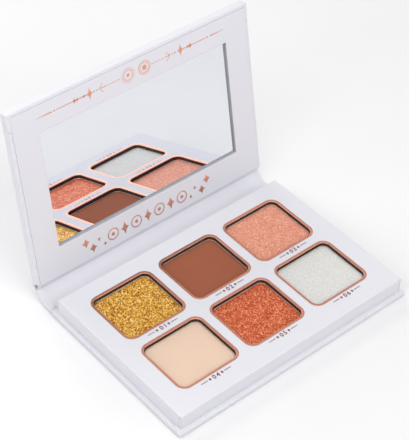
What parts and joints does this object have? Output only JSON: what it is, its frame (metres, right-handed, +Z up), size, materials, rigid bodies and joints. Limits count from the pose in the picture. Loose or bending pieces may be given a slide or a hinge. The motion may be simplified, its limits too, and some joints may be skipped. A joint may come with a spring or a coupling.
{
  "type": "eyeshadow palette",
  "caption": "Open book-style eyeshadow palette of wrapped board: raised tray of pressed powder pans, rounded spine with two creases, and a lid with a recessed mirror.",
  "frame": {"origin": "middle of the base's underside, on the surface it rests on", "axes": "+X to the user's right, +Y from the front edge towards the spine, +Z up out of the pans"},
  "size_m": [0.1174, 0.1076, 0.0845],
  "materials": {
    "soft_touch_paper": "soft-touch matte, lilac white",
    "greyboard": "raw grey board",
    "core_board": "dark brown die-cut board",
    "tinplate": "pressed tinplate",
    "mirror_glass": "silvered glass",
    "adhesive": "double-sided tape and glue pads",
    "magnet": "nickel-plated disc",
    "powder_back_left": "gold glitter",
    "powder_back_middle": "matte brown",
    "powder_back_right": "coral pink shimmer",
    "powder_front_left": "matte cream",
    "powder_front_middle": "copper orange shimmer",
    "powder_front_right": "white shimmer"
  },
  "bodies": {
    "base": {"base_board": "greyboard", "base_wrap": "soft_touch_paper", "tray_floor": "greyboard", "tray_core": "core_board", "tray_wrap": "soft_touch_paper", "tray_magnets": "magnet", "pan_adhesive": "adhesive", "pan_back_left": "tinplate", "shade_back_left": "powder_back_left", "pan_back_middle": "tinplate", "shade_back_middle": "powder_back_middle", "pan_back_right": "tinplate", "shade_back_right": "powder_back_right", "pan_front_left": "tinplate", "shade_front_left": "powder_front_left", "pan_front_middle": "tinplate", "shade_front_middle": "powder_front_middle", "pan_front_right": "tinplate", "shade_front_right": "powder_front_right"},
    "spine": {"spine_wrap": "soft_touch_paper", "spine_board": "greyboard", "spine_liner": "soft_touch_paper"},
    "lid": {"lid_board": "greyboard", "mirror_frame": "greyboard", "lid_wrap": "soft_touch_paper", "lid_liner": "soft_touch_paper", "lid_magnets": "magnet", "mirror_adhesive": "adhesive", "mirror": "mirror_glass"}
  },
  "joints": [
    {"name": "spine_hinge", "type": "hinge", "parent": "base", "child": "spine", "pos_m": [0, 0.03965, 0.00035], "axis": [-1, 0, 0], "range_deg": [-62.8, 27.2]},
    {"name": "lid_hinge", "type": "hinge", "parent": "spine", "child": "lid", "pos_m": [0, 0.05135, 0.00636], "axis": [-1, 0, 0], "range_deg": [-39.14, 50.86]}
  ]
}
